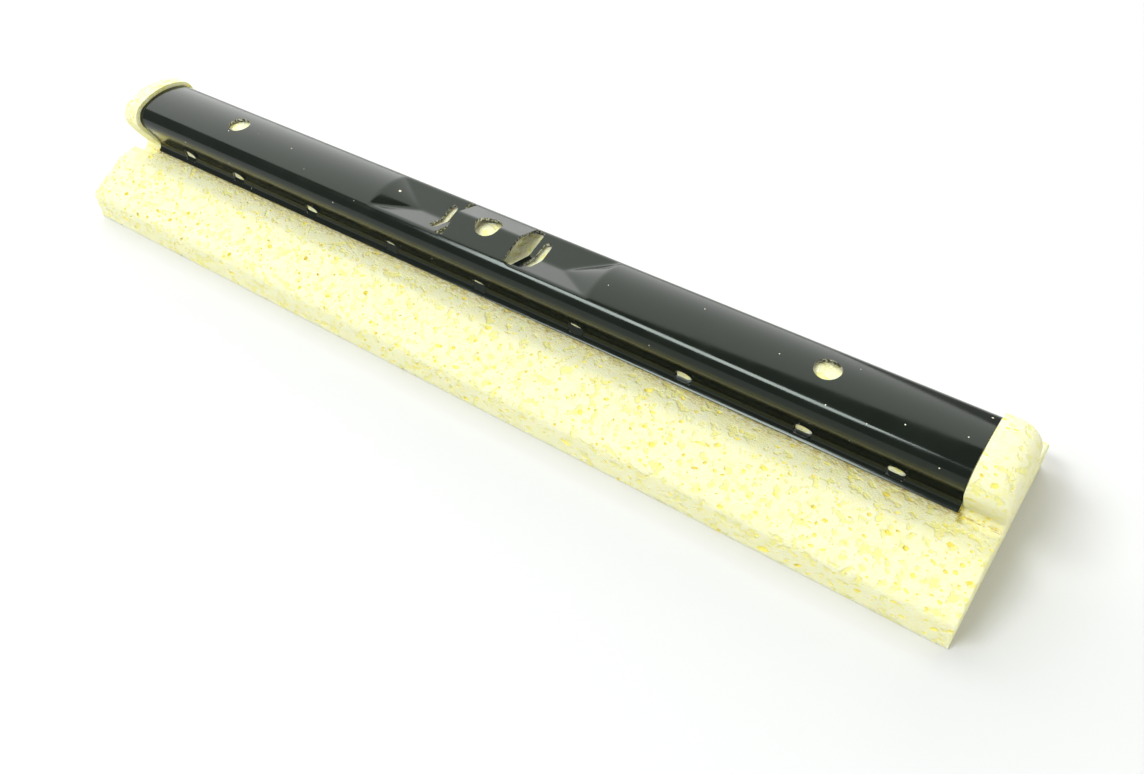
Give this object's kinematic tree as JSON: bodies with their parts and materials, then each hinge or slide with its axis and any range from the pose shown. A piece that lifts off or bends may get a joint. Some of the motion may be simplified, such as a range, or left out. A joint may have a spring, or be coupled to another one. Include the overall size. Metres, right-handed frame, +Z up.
{
  "type": "roller mop refill head",
  "caption": "Yellow cellulose sponge with a pinched waist, gripped by a black pressed steel channel with fixing holes, for a roller mop.",
  "frame": {"origin": "middle of the sponge's underside, on the surface it stands on", "axes": "+X along the head, +Y across it, +Z up through the steel channel's crown"},
  "size_m": [0.305, 0.064, 0.037],
  "materials": {
    "enamelled_steel": "gloss black enamel on pressed sheet steel, with dust specks and small chips at the hole edges",
    "cellulose_sponge": "matt pale yellow cellulose sponge with open pores of mixed size"
  },
  "bodies": {
    "root": {"spine_channel": "enamelled_steel", "sponge": "cellulose_sponge"}
  },
  "joints": []
}
